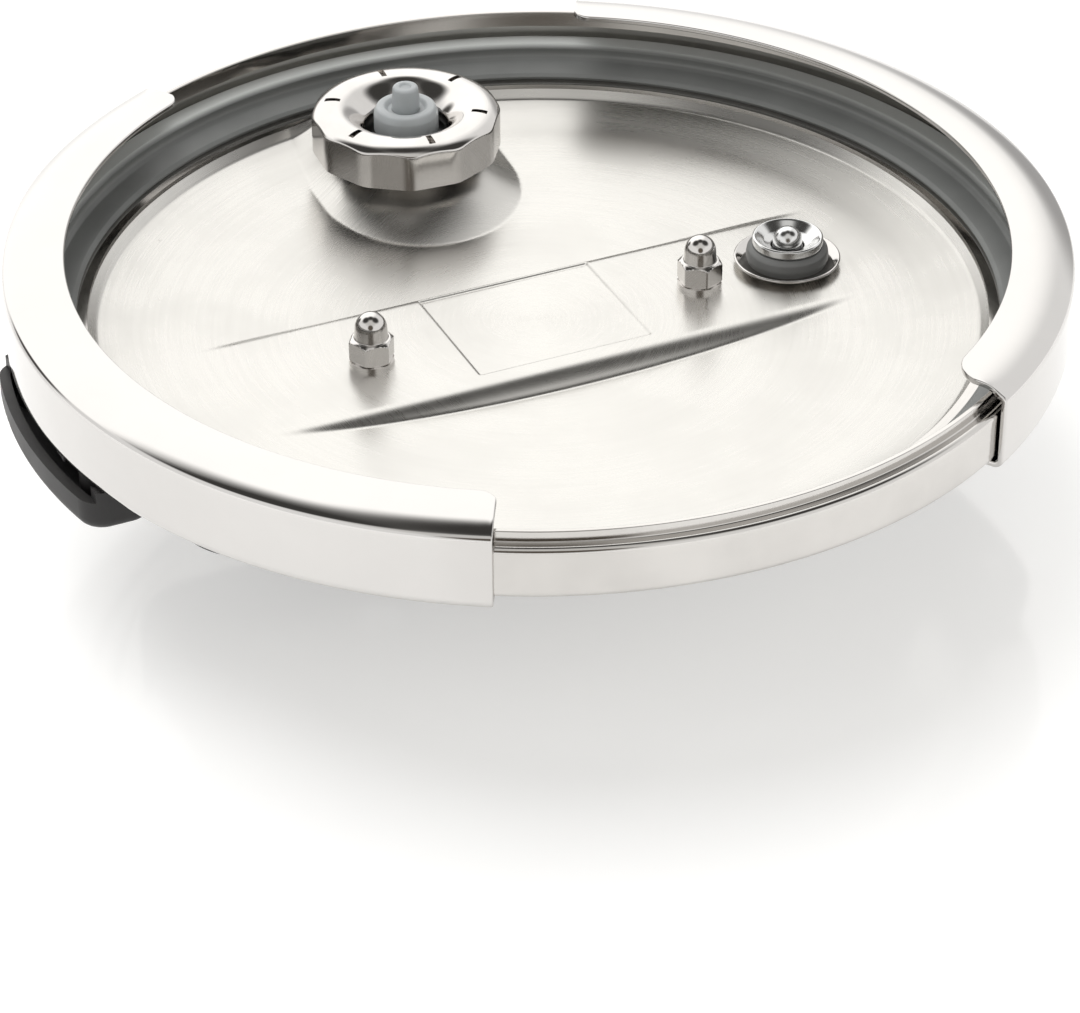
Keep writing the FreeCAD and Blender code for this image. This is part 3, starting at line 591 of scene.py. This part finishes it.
@dataclass
class Gasket:
    """Silicone seal: upper lip, drawn-in inner face and lower lip."""

    segments: int = 420

    def build(self) -> bpy.types.Object:
        """Closed profile turned about the lid's axis."""
        line = filleted([
            (104.8, 53.0, 0.2), (104.4, 53.8, 0.3), (105.4, 54.5, 0.5), (110.0, 55.6, 0.8), (111.1, 56.6, 0.8),
            (110.7, 58.6, 0.5), (111.7, 59.4, 0.4), (116.0, 59.4, 0.8), (117.1, 58.4, 0.5), (117.1, 54.4, 0.6),
            (116.2, 53.0, 0.4)])
        points, faces = revolved(subdivided(line, 1.2), self.segments)
        return make_piece("gasket_ring", points, faces)


# ------------------------------------------------------------------ the jaws
@dataclass
class Jaw:
    """Clamp jaw: a sheet rolled to a C section round a third of the rim, its edges broken."""

    radius: float = 120.3
    top: float = 70.0
    bottom: float = 49.8
    lip_r: float = 106.0
    foot_r: float = 108.0
    sheet: float = 1.4
    crown_r: float = 109.0
    crown_drop: float = 2.1
    brow_r: float = 119.3
    brow_bend: float = 1.1
    foot_bend: float = 2.4
    half_angle: float = 61.3
    middle_angle: float = 0.0
    front_corner: float = 4.0
    rear_corner: float = 4.0
    edge: float = 0.4

    def section(self) -> tuple[np.ndarray, np.ndarray, np.ndarray]:
        """Middle line of the section, its normals and the share of each point in the lip's width."""
        h = self.sheet / 2
        out = np.linspace(0, 1, 16)[1:]
        crown = np.stack([self.crown_r + (self.brow_r - self.crown_r) * out,
                          self.top - h - self.crown_drop * out ** 2.6], 1)
        fall = crown[-1] - crown[-2]
        corner = (self.radius - h, crown[-1, 1] + fall[1] / fall[0] * (self.radius - h - self.brow_r))
        lower = filleted([tuple(crown[-2]), (*corner, self.brow_bend),
                          (self.radius - h, self.bottom + h, self.foot_bend - h), (self.foot_r, self.bottom + h)],
                         closed=False, arc_step=8.0)
        line = np.concatenate([[(self.lip_r, self.top - h), (self.crown_r, self.top - h)], crown[:-2], lower])
        line = subdivided(line, 0.9)
        ends = [np.linspace(0, 0.45, 6)[:-1], np.linspace(0.45, 1.0, 3)[:-1]]
        start = line[0] + (line[1] - line[0]) * np.concatenate(ends)[:, None]
        finish = (line[-1] + (line[-2] - line[-1]) * np.concatenate(ends)[:, None])[::-1]
        line = np.concatenate([start, line[1:-1], finish])
        run = np.gradient(line, axis=0)
        run /= np.linalg.norm(run, axis=1, keepdims=True)
        normal = np.stack([-run[:, 1], run[:, 0]], axis=1)
        bend_r = self.brow_r - 1.0
        on_lip = (line[:, 1] > self.top - 5.0) & (line[:, 0] < bend_r)
        share = np.where(on_lip, (bend_r - line[:, 0]) / (bend_r - self.lip_r), 0.0)
        return line, normal, share

    def grid(self) -> tuple[np.ndarray, np.ndarray]:
        """Section swept round the axis; near its ends the lip is cut back along a quarter circle."""
        line, normal, share = self.section()
        end = math.radians(self.half_angle)
        widest = max(self.front_corner, self.rear_corner)
        close = np.concatenate([np.linspace(0, self.edge, 6)[:-1], np.linspace(self.edge, widest, 14)])
        close = close / self.radius
        middle = np.linspace(-end + close[-1], end - close[-1], 150)[1:-1]
        angle = np.concatenate([-end + close, middle, (end - close)[::-1]])
        away = (end - np.abs(angle)) * self.lip_r
        corner = np.where(angle < 0, self.front_corner, self.rear_corner)
        missing = corner - np.sqrt(np.maximum(corner ** 2 - np.maximum(corner - away, 0) ** 2, 0))
        radius = line[:, :1] + share[:, None] * missing[None]
        height = np.broadcast_to(line[:, 1:2], radius.shape)
        turn = np.broadcast_to(angle[None] + math.radians(self.middle_angle), radius.shape)
        spot = np.stack([radius * np.cos(turn), radius * np.sin(turn), height], -1)
        out = np.stack([normal[:, :1] * np.cos(turn), normal[:, :1] * np.sin(turn),
                        np.broadcast_to(normal[:, 1:2], radius.shape)], -1)
        along = np.concatenate([[0], np.cumsum(np.linalg.norm(np.diff(line, axis=0), axis=1))])
        from_edge = np.minimum(along, along[-1] - along)[:, None]
        gap = np.minimum(from_edge, ((end - np.abs(angle)) * self.radius)[None])
        shy = np.maximum(self.edge - gap, 0)
        half = self.sheet / 2 - self.edge + np.sqrt(np.maximum(self.edge ** 2 - shy ** 2, 0))
        return sheet_solid(spot, out, half)

    def build(self, side: str) -> bpy.types.Object:
        """The jaw of one side."""
        points, faces = self.grid()
        if side == "left":
            points = half_turned(points)
        return make_piece(f"clamp_jaw_{side}", points, faces, math.radians(50))


# ------------------------------------------------------------------ nuts
@dataclass
class AcornNut:
    """Domed hexagon nut with chamfered corners and a collar line below the dome."""

    across: float = 9.2
    seat: float = 47.0
    hex_top: float = 52.3
    dome_r: float = 3.8
    top: float = 58.5

    def build(self, name: str, x: float, turn: float) -> bpy.types.Object:
        """Turned profile whose radius is held inside the hexagon below the collar."""
        corner = self.across / math.sqrt(3)
        line = filleted([
            (0, self.seat), (corner - 0.7, self.seat, 0.2), (corner + 0.05, self.seat + 0.45, 0.15),
            (corner + 0.05, self.hex_top - 0.75, 0.15), (self.across / 2 - 0.3, self.hex_top, 0.2),
            (self.dome_r + 0.05, self.hex_top + 0.05, 0.25), (self.dome_r - 0.1, self.top - self.dome_r - 0.3, 0.4)],
            closed=False)
        rise = np.linspace(0, math.pi / 2, 16)
        dome = np.stack([(self.dome_r - 0.1) * np.cos(rise), self.top - self.dome_r + self.dome_r * np.sin(rise)], 1)
        line = subdivided(np.concatenate([line[:-1], dome]), 0.35)

        def inside_hexagon(radius: np.ndarray, angle: np.ndarray, height: np.ndarray) -> np.ndarray:
            """Flat faces at half the width across, with slightly eased corners."""
            wedge = (angle - math.radians(turn)) % (math.pi / 3) - math.pi / 6
            flat = self.across / 2 / np.cos(wedge)
            return np.where(height < self.hex_top - 0.001, soft_min(radius, flat, 0.08), radius)

        points, faces = revolved(line, 144, (x, 0.0), inside_hexagon)
        return make_piece(name, points, faces, math.radians(28))


# ------------------------------------------------------------------ pressure valve
@dataclass
class ValveCap:
    """Twelve-sided pressed cap: ring crest, dished mouth, six slots and flat facets."""

    y: float = 77.0
    facet_r: float = 23.0
    turn: float = 10.8
    low: float = 53.5
    slot_start: float = 26.0
    slot_half: float = 0.65
    slot_from: float = 16.2
    slot_to: float = 19.8
    slot_depth: float = 1.6
    upper_face_z: float = 62.45

    def build(self) -> bpy.types.Object:
        """Turned profile held inside twelve facets with eased corners; the slots are sunk by height."""
        rise = np.linspace(0, 1, 26)
        dish = np.stack([10.0 + 7.2 * rise, 59.8 + 4.6 * np.sin(rise * math.pi / 2) ** 0.9], 1)
        fall = np.linspace(0, math.pi / 2, 22)[1:]
        crest = np.stack([17.2 + 6.0 * np.sin(fall) ** 1.0, 61.0 + 3.4 * np.cos(fall)], 1)
        wall = np.array([(23.4, 60.0), (23.4, self.low + 0.3), (23.1, self.low), (21.6, self.low)])
        inner = np.array([(21.4, 60.2), (19.6, 62.4), (14.6, 61.6), (11.6, 59.2), (11.2, 57.4), (9.6, 57.4)])
        line = np.concatenate([dish, crest, wall, inner, dish[:1]])
        cuts = np.array([self.slot_from - 0.08, self.slot_from, self.slot_to, self.slot_to + 0.08])
        line = subdivided(line, 0.5)
        extra = [np.array([cut, np.interp(cut, line[:46, 0], line[:46, 1])]) for cut in cuts]
        line = self.with_points(line, extra)
        angles = self.columns()

        def inside_facets(radius: np.ndarray, angle: np.ndarray, height: np.ndarray) -> np.ndarray:
            """Flat facets; the pressed corners are round."""
            wedge = (angle - math.radians(self.turn)) % (math.pi / 6) - math.pi / 12
            flat = self.facet_r * math.cos(math.pi / 12) / np.cos(wedge)
            eased = soft_min(flat, np.full_like(flat, self.facet_r - 0.25), 0.25)
            return soft_min(radius, eased, 0.22)

        points, faces = revolved(line, 0, (0.0, self.y), inside_facets, angles)
        points = self.sink_slots(points)
        return make_piece("valve_cap_pressed", points, faces, math.radians(40))

    def with_points(self, line: np.ndarray, extra: Sequence[np.ndarray]) -> np.ndarray:
        """Insert points on the upper face by their radius."""
        crest = int(np.argmax(line[:, 0] > 23.0))
        upper = np.concatenate([line[:crest], np.array(extra)])
        upper = upper[np.argsort(upper[:, 0], kind="stable")]
        return np.concatenate([upper, line[crest:]])

    def columns(self) -> np.ndarray:
        """Even column angles with extra ones at both edges of every slot."""
        even = np.linspace(0, FULL_TURN, 360, endpoint=False)
        centres = np.radians(self.slot_start + 60 * np.arange(6))
        half = self.slot_half / ((self.slot_from + self.slot_to) / 2)
        edges = (centres[:, None] + np.array([-half - 0.004, -half, half, half + 0.004])[None]).ravel() % FULL_TURN
        return np.unique(np.concatenate([even, edges]))

    def sink_slots(self, points: np.ndarray) -> np.ndarray:
        """Lower what lies inside a slot's outline on the upper face; the slots are arcs of a ring."""
        out = points.copy()
        x, y = points[:, 0], points[:, 1] - self.y
        radius, angle = np.hypot(x, y), np.degrees(np.arctan2(y, x))
        wedge = np.radians((angle - self.slot_start + 30) % 60 - 30)
        half = self.slot_half / ((self.slot_from + self.slot_to) / 2)
        inside = (np.abs(wedge) < half + 0.001) & (radius > self.slot_from - 0.03) & (radius < self.slot_to + 0.03)
        upper = inside & (points[:, 2] > self.upper_face_z)
        out[upper, 2] -= self.slot_depth
        return out


@dataclass
class ValveCore:
    """Milky silicone ring in the cap's mouth and the filter peg in its middle."""

    y: float = 77.0

    def build_ring(self) -> bpy.types.Object:
        """Turned ring with a rounded top edge and a sunk middle."""
        line = filleted([(3.3, 57.6), (7.5, 57.6, 0.3), (7.8, 58.6, 0.4), (7.75, 62.6, 0.8), (7.0, 64.4, 0.8),
                         (5.2, 64.5, 0.7), (4.4, 63.5, 0.4), (3.3, 63.4, 0.2)])
        points, faces = revolved(subdivided(line, 0.6), 96, (0.0, self.y))
        return make_piece("core_ring", points, faces)

    def build_peg(self) -> bpy.types.Object:
        """Tapered peg with a rounded head and a dimple."""
        line = filleted([(0, 57.6), (3.25, 57.6, 0.2), (3.3, 66.4, 0.6), (3.0, 69.6, 0.9), (1.6, 69.6, 0.4),
                         (1.2, 69.1, 0.3), (0, 69.1)], closed=False)
        points, faces = revolved(subdivided(line, 0.6), 72, (0.0, self.y))
        return make_piece("core_peg", points, faces)


# ------------------------------------------------------------------ safety valve
@dataclass
class SafetyValve:
    """Dished ring, silicone grommet, turned cup and the ball-headed pin."""

    x: float = 63.7

    def turned_part(self, name: str, corners: Sequence[tuple[float, ...]], closed: bool = True) -> bpy.types.Object:
        """One turned part of the valve."""
        line = subdivided(filleted(corners, closed), 0.5)
        points, faces = revolved(line, 120, (self.x, 0.0))
        return make_piece(name, points, faces)

    def build_ring(self) -> bpy.types.Object:
        """Dished ring whose edge stands clear of the panel."""
        return self.turned_part("safety_dish", [
            (7.0, 46.0), (9.6, 46.1, 1.0), (12.3, 47.4, 0.2), (12.5, 47.9, 0.25), (12.1, 48.1, 0.2),
            (9.6, 46.9, 0.9), (7.0, 46.8)])

    def build_grommet(self) -> bpy.types.Object:
        """Grommet with a bulged flank."""
        return self.turned_part("safety_collar", [
            (4.7, 42.2), (8.2, 42.2, 0.4), (9.0, 43.2, 0.4), (9.0, 44.8), (7.0, 44.8), (7.0, 46.8),
            (9.2, 46.8, 0.3), (9.7, 48.4, 1.6), (9.4, 50.2, 0.8), (8.4, 51.0, 0.4), (4.7, 51.0)])

    def build_cup(self) -> bpy.types.Object:
        """Turned cup: rim, dished floor and a hole for the pin."""
        return self.turned_part("safety_cup", [
            (2.0, 41.2), (4.6, 41.2), (4.6, 51.0), (7.9, 51.0, 0.3), (8.25, 51.5, 0.3), (8.25, 53.1, 0.3),
            (7.8, 53.4, 0.25), (7.3, 53.1, 0.3), (5.6, 51.7, 1.5), (3.9, 50.9, 0.4), (3.8, 47.4), (2.0, 46.8)])

    def build_ball(self) -> bpy.types.Object:
        """Pin with its ball head."""
        turn = np.linspace(-0.9, math.pi / 2, 24)
        head = np.stack([3.45 * np.cos(turn), 52.0 + 3.4 * np.sin(turn)], 1)
        stem = np.array([(0, 40.8), (1.0, 40.8), (1.5, 41.3), (1.5, head[0, 1])])
        points, faces = revolved(subdivided(np.concatenate([stem, head]), 0.5), 96, (self.x, 0.0))
        return make_piece("safety_ball", points, faces)


# ------------------------------------------------------------------ surroundings
@dataclass(frozen=True)
class Patch:
    """Soft round patch of the surroundings, by where it lies and how bright it is."""

    azimuth: float
    elevation: float
    inner: float
    outer: float
    colour: tuple[float, float, float]


@dataclass
class Studio:
    """Pale floor, surroundings that light the metal, and the camera."""

    target: tuple[float, float, float] = (-33.37, -74.7, 50.0)
    distance: float = 841.95
    azimuth: float = -24.22
    elevation: float = 33.81
    roll: float = -0.26
    lens: float = 133.3
    white: tuple[float, float, float] = (1.04, 1.035, 1.025)
    strength: float = 1.0
    floor_glow: float = 0.42
    patches: tuple[Patch, ...] = (
        Patch(0.0, 40.0, 26.0, 46.0, (1.62, 1.61, 1.58)),
        Patch(204.0, 70.0, 22.0, 46.0, (0.78, 0.77, 0.75)),
        Patch(24.0, 82.0, 6.0, 22.0, (0.06, 0.057, 0.054)),
        Patch(114.0, 60.0, 12.0, 28.0, (0.06, 0.058, 0.055)),
        Patch(294.0, 60.0, 12.0, 28.0, (0.06, 0.058, 0.055)),
        Patch(204.0, 27.0, 13.0, 22.0, (0.13, 0.11, 0.09)),
        Patch(326.0, 14.0, 6.0, 15.0, (0.1, 0.095, 0.09)),
        Patch(48.0, 6.0, 5.0, 18.0, (0.5, 0.495, 0.49)),
    )

    def build_floor(self) -> bpy.types.Object:
        """Large flat floor, bright of itself, with a faint gloss."""
        side = 40.0
        x, y = np.meshgrid(np.linspace(-side, side, 3), np.linspace(-side, side, 3))
        points = np.stack([x, y, np.zeros_like(x)], -1).reshape(-1, 3) / MM
        mesh = bpy.data.meshes.new("floor")
        mesh.from_pydata((points * MM).tolist(), [], quads_of_grid(3, 3).tolist())
        floor = bpy.data.objects.new("floor", mesh)
        bpy.context.scene.collection.objects.link(floor)
        material = bpy.data.materials.new("floor_gloss")
        material.use_nodes = True
        sheet = NodeSheet(material.node_tree)
        shader = sheet.add("ShaderNodeBsdfPrincipled", Base_Color=(0.7, 0.7, 0.696, 1.0), Roughness=0.09)
        shader.inputs["Emission Color"].default_value = (1.0, 0.995, 0.985, 1.0)
        shader.inputs["Emission Strength"].default_value = self.floor_glow
        shader.inputs["IOR"].default_value = 1.45
        out = sheet.add("ShaderNodeOutputMaterial")
        sheet.feed(out, "Surface", shader.outputs[0])
        mesh.materials.append(material)
        return floor

    def build_surroundings(self) -> None:
        """White surroundings with soft dark patches, by the direction from the lid."""
        world = bpy.data.worlds.new("studio")
        bpy.context.scene.world = world
        world.use_nodes = True
        sheet = NodeSheet(world.node_tree)
        way = sheet.add("ShaderNodeTexCoord").outputs["Generated"]
        colour: object = rgba(self.white)
        for patch in self.patches:
            turn, rise = math.radians(patch.azimuth), math.radians(patch.elevation)
            towards = (math.sin(turn) * math.cos(rise), math.cos(turn) * math.cos(rise), math.sin(rise))
            near = sheet.vector("DOT_PRODUCT", way, towards).outputs["Value"]
            amount = sheet.ramp(near, math.cos(math.radians(patch.outer)), math.cos(math.radians(patch.inner)))
            colour = sheet.blend(amount, colour, rgba(patch.colour))
        glow = sheet.add("ShaderNodeBackground", Color=colour, Strength=self.strength)
        out = sheet.add("ShaderNodeOutputWorld")
        sheet.feed(out, "Surface", glow.outputs[0])

    def build_lights(self) -> None:
        """One broad soft light above, behind and to the left."""
        light = bpy.data.lights.new("overhead", "AREA")
        light.shape = "DISK"
        light.size = 1.6
        light.energy = 22.0
        lamp = bpy.data.objects.new("overhead", light)
        lamp.location = (-0.5, 0.5, 1.9)
        lamp.visible_glossy = False
        aim = Vector((0, 0, 0.05)) - lamp.location
        lamp.rotation_euler = aim.to_track_quat("-Z", "Y").to_euler()
        bpy.context.scene.collection.objects.link(lamp)

    def build_camera(self) -> None:
        """Long-lens camera that looks down at the lid from the front left."""
        turn, rise = math.radians(-self.azimuth), math.radians(self.elevation)
        back = Vector((-math.sin(turn) * math.cos(rise), -math.cos(turn) * math.cos(rise), math.sin(rise)))
        camera = bpy.data.cameras.new("camera")
        camera.lens = self.lens
        camera.sensor_width = 36.0
        camera.clip_start = 0.02
        camera.clip_end = 200.0
        thing = bpy.data.objects.new("camera", camera)
        spot = Vector(self.target) * MM + back * self.distance * MM
        tilt = (-back).to_track_quat("-Z", "Y").to_matrix().to_4x4()
        thing.matrix_world = Matrix.Translation(spot) @ tilt @ Matrix.Rotation(math.radians(self.roll), 4, "Z")
        bpy.context.scene.collection.objects.link(thing)
        bpy.context.scene.camera = thing

    def build(self) -> None:
        """Everything round the lid."""
        self.build_floor()
        self.build_surroundings()
        self.build_lights()
        self.build_camera()
        bpy.context.scene.view_settings.view_transform = "Standard"


def dress_cad(finishes: Finishes) -> None:
    """Give every CAD node that stays the finish of its record slot."""
    by_slot = {"lid_steel": finishes.rim, "jaw_steel": finishes.jaw, "polished_steel": finishes.polished,
               "plain_steel": finishes.plain, "turned_metal": finishes.turned, "seal_silicone": finishes.seal,
               "grommet_silicone": finishes.grommet, "clear_silicone": finishes.core,
               "black_plastic": finishes.plastic}
    for part in frame["record"]["subparts"]:
        node = frame["nodes"][part["node"]]
        node.data.materials.clear()
        node.data.materials.append(by_slot[part["material_slot"]])


def main() -> None:
    """Build the pieces in order and dress them."""
    logging.basicConfig(level=logging.INFO, format="%(name)s: %(message)s")
    finishes = Finishes()
    dress_cad(finishes)
    dress(LidPanel().build(), finishes.panel, "lid_steel", "lid", "lid_body")
    dress(LidRim().build(), finishes.rim, "lid_steel", "lid")
    dress(Gasket().build(), finishes.seal, "seal_silicone", "lid", "gasket")
    right, left = Jaw(half_angle=60.0, middle_angle=1.0, front_corner=7.5), Jaw()
    dress(right.build("right"), finishes.jaw, "jaw_steel", "jaw_right", "jaw_right")
    dress(left.build("left"), finishes.jaw, "jaw_steel", "jaw_left", "jaw_left")
    nut = AcornNut()
    dress(nut.build("acorn_nut_left", -41.0, 54.0), finishes.polished, "polished_steel", "lid", "acorn_nuts")
    dress(nut.build("acorn_nut_right", 41.0, 84.0), finishes.polished, "polished_steel", "lid")
    dress(ValveCap().build(), finishes.polished, "polished_steel", "lid", "valve_cap")
    core = ValveCore()
    dress(core.build_ring(), finishes.core, "clear_silicone", "lid", "valve_core")
    dress(core.build_peg(), finishes.core, "clear_silicone", "lid", "valve_peg")
    safety = SafetyValve()
    dress(safety.build_ring(), finishes.polished, "polished_steel", "lid", "safety_ring")
    dress(safety.build_grommet(), finishes.grommet, "grommet_silicone", "lid", "safety_grommet")
    dress(safety.build_cup(), finishes.turned, "turned_metal", "lid", "safety_core")
    dress(safety.build_ball(), finishes.turned, "turned_metal", "pressure_pin", "safety_pin")
    Studio().build()


if __name__ == "__main__":
    main()
